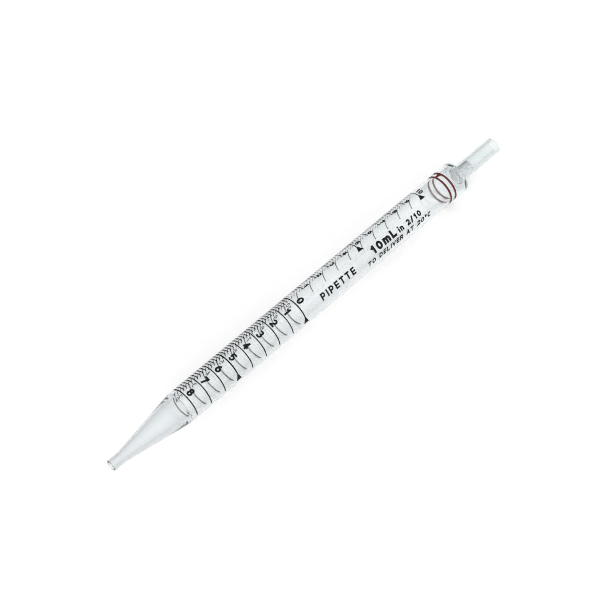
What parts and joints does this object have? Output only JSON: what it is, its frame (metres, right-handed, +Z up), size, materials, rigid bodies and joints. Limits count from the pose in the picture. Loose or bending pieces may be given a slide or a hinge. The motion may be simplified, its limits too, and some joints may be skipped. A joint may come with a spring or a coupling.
{
  "type": "serological pipette",
  "caption": "Short wide-tip graduated pipette of clear plastic: printed barrel, welded tip cone, and a plugged mouthpiece stem. Draws up and delivers measured liquid volumes.",
  "frame": {"origin": "middle of the length, on the surface the pipette lies on, under its axis", "axes": "+X along the axis towards the mouthpiece, +Z up"},
  "size_m": [0.2286, 0.0148, 0.0148],
  "materials": {
    "barrel_plastic": "clear, gloss",
    "tip_plastic": "clear, gloss",
    "mouthpiece_plastic": "clear, gloss",
    "filter_fibre": "matt fibre",
    "black_ink": "semi-gloss print",
    "red_ink": "semi-gloss print"
  },
  "bodies": {
    "root": {"barrel_tube": "barrel_plastic", "tip_cone": "tip_plastic", "mouthpiece": "mouthpiece_plastic", "filter_plug": "filter_fibre", "main_ring_lines": "black_ink", "main_fifth_ticks": "black_ink", "main_numerals": "black_ink", "ascending_numerals": "black_ink", "upper_ml_lines": "black_ink", "upper_fifth_ticks": "black_ink", "upper_numerals": "black_ink", "pointer_marks": "black_ink", "capacity_legend": "black_ink", "interval_legend": "black_ink", "colour_band_lower": "red_ink", "colour_band_upper": "red_ink"}
  },
  "joints": []
}
